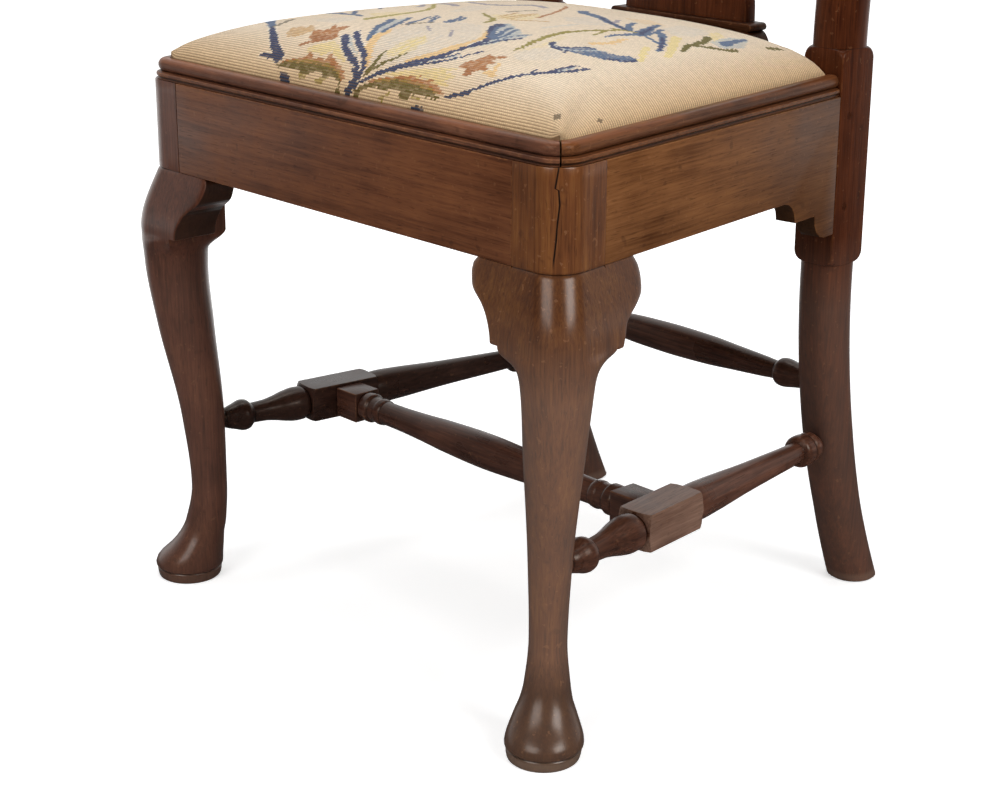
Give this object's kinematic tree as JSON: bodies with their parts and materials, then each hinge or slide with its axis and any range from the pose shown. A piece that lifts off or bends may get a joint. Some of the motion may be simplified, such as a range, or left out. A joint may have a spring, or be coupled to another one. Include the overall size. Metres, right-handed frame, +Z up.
{
  "type": "side chair",
  "caption": "Wooden side chair with cabriole front legs, turned H-stretcher, raised rear stretcher, vase splat, yoke crest and a drop-in needlework seat that lifts out.",
  "frame": {"origin": "on the floor, under the middle of the chair's box", "axes": "+Z up, -Y towards the front of the seat, +X to the right as seen from the front"},
  "size_m": [0.5078, 0.4728, 1.005],
  "materials": {
    "walnut": "waxed, worn",
    "dark_walnut": "waxed, worn",
    "pine": "sawn, unfinished",
    "beech": "planed, unfinished",
    "jute": "woven webbing",
    "sackcloth": "plain weave",
    "horsehair": "curled hair",
    "needlework": "wool needlework on canvas"
  },
  "bodies": {
    "frame": {"corner_block_front_left": "pine", "corner_block_front_right": "pine", "corner_block_rear_left": "pine", "corner_block_rear_right": "pine", "crest_rail": "dark_walnut", "front_leg_left": "walnut", "front_leg_right": "walnut", "knee_bracket_front_left": "walnut", "knee_bracket_front_right": "walnut", "knee_bracket_side_left": "walnut", "knee_bracket_side_right": "walnut", "medial_stretcher": "dark_walnut", "rail_peg_lower_left": "dark_walnut", "rail_peg_lower_right": "dark_walnut", "rail_peg_upper_left": "dark_walnut", "rail_peg_upper_right": "dark_walnut", "rear_post_left": "dark_walnut", "rear_post_right": "dark_walnut", "rear_stretcher": "dark_walnut", "rim_moulding_front": "walnut", "rim_moulding_left": "walnut", "rim_moulding_right": "walnut", "seat_rail_front": "walnut", "seat_rail_left": "walnut", "seat_rail_rear": "walnut", "seat_rail_right": "walnut", "shoe": "dark_walnut", "side_stretcher_left": "dark_walnut", "side_stretcher_right": "dark_walnut", "splat": "dark_walnut"},
    "slip_seat": {"needlework_cover": "needlework", "sackcloth": "sackcloth", "seat_stuffing": "horsehair", "slip_rail_front": "beech", "slip_rail_left": "beech", "slip_rail_rear": "beech", "slip_rail_right": "beech", "webbing_cross_1": "jute", "webbing_cross_2": "jute", "webbing_cross_3": "jute", "webbing_long_1": "jute", "webbing_long_2": "jute", "webbing_long_3": "jute"}
  },
  "joints": [
    {"name": "slip_seat_lift", "type": "slide", "parent": "frame", "child": "slip_seat", "axis": [0, 0, 1], "range_m": [0, 0.15]}
  ]
}
